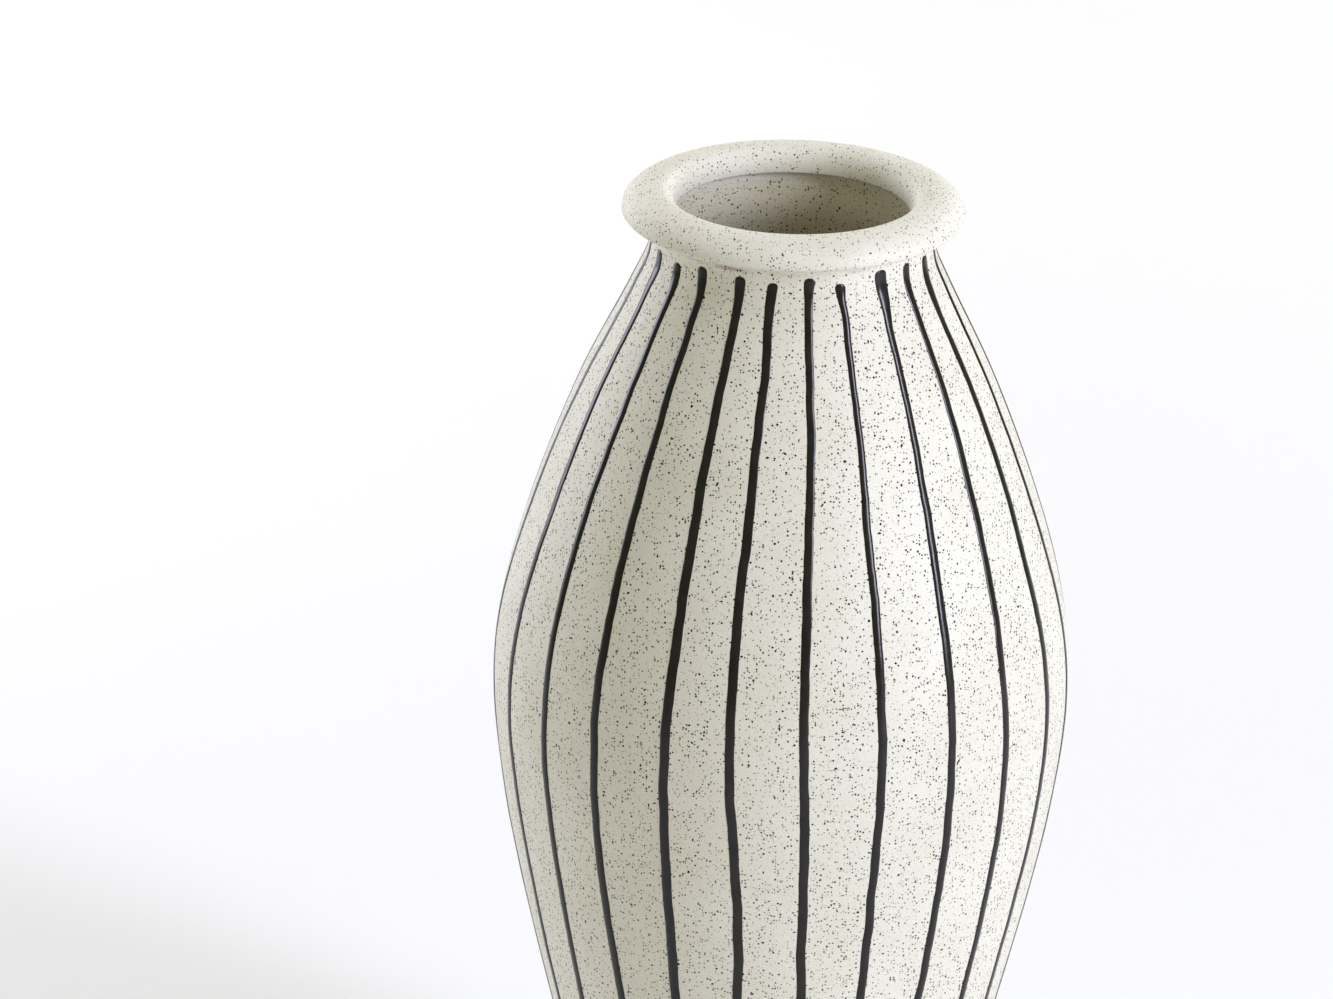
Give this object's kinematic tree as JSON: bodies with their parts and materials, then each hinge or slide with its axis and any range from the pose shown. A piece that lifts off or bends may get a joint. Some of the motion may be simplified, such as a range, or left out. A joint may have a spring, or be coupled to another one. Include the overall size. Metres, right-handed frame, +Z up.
{
  "type": "vase",
  "caption": "Tall round-bellied stoneware vase with a rolled rim, a narrow mouth and raised dark lines running down the wall.",
  "frame": {"origin": "on the axis of the vase, on the surface that the foot stands on", "axes": "+Z up along the axis, -Y towards the front, +X to the right seen from the front"},
  "size_m": [0.1992, 0.199, 0.4],
  "materials": {
    "stoneware": "matte off-white with fine dark brown specks",
    "liner_glaze": "satin clear glaze over the speckled clay",
    "black_slip": "satin black raised slip"
  },
  "bodies": {
    "root": {"foot_ring": "stoneware", "base_slab": "stoneware", "body_wall": "stoneware", "rolled_rim": "stoneware", "inner_glaze": "liner_glaze", "slip_line_01": "black_slip", "slip_line_02": "black_slip", "slip_line_03": "black_slip", "slip_line_04": "black_slip", "slip_line_05": "black_slip", "slip_line_06": "black_slip", "slip_line_07": "black_slip", "slip_line_08": "black_slip", "slip_line_09": "black_slip", "slip_line_10": "black_slip", "slip_line_11": "black_slip", "slip_line_12": "black_slip", "slip_line_13": "black_slip", "slip_line_14": "black_slip", "slip_line_15": "black_slip", "slip_line_16": "black_slip", "slip_line_17": "black_slip", "slip_line_18": "black_slip", "slip_line_19": "black_slip", "slip_line_20": "black_slip", "slip_line_21": "black_slip", "slip_line_22": "black_slip", "slip_line_23": "black_slip", "slip_line_24": "black_slip"}
  },
  "joints": []
}
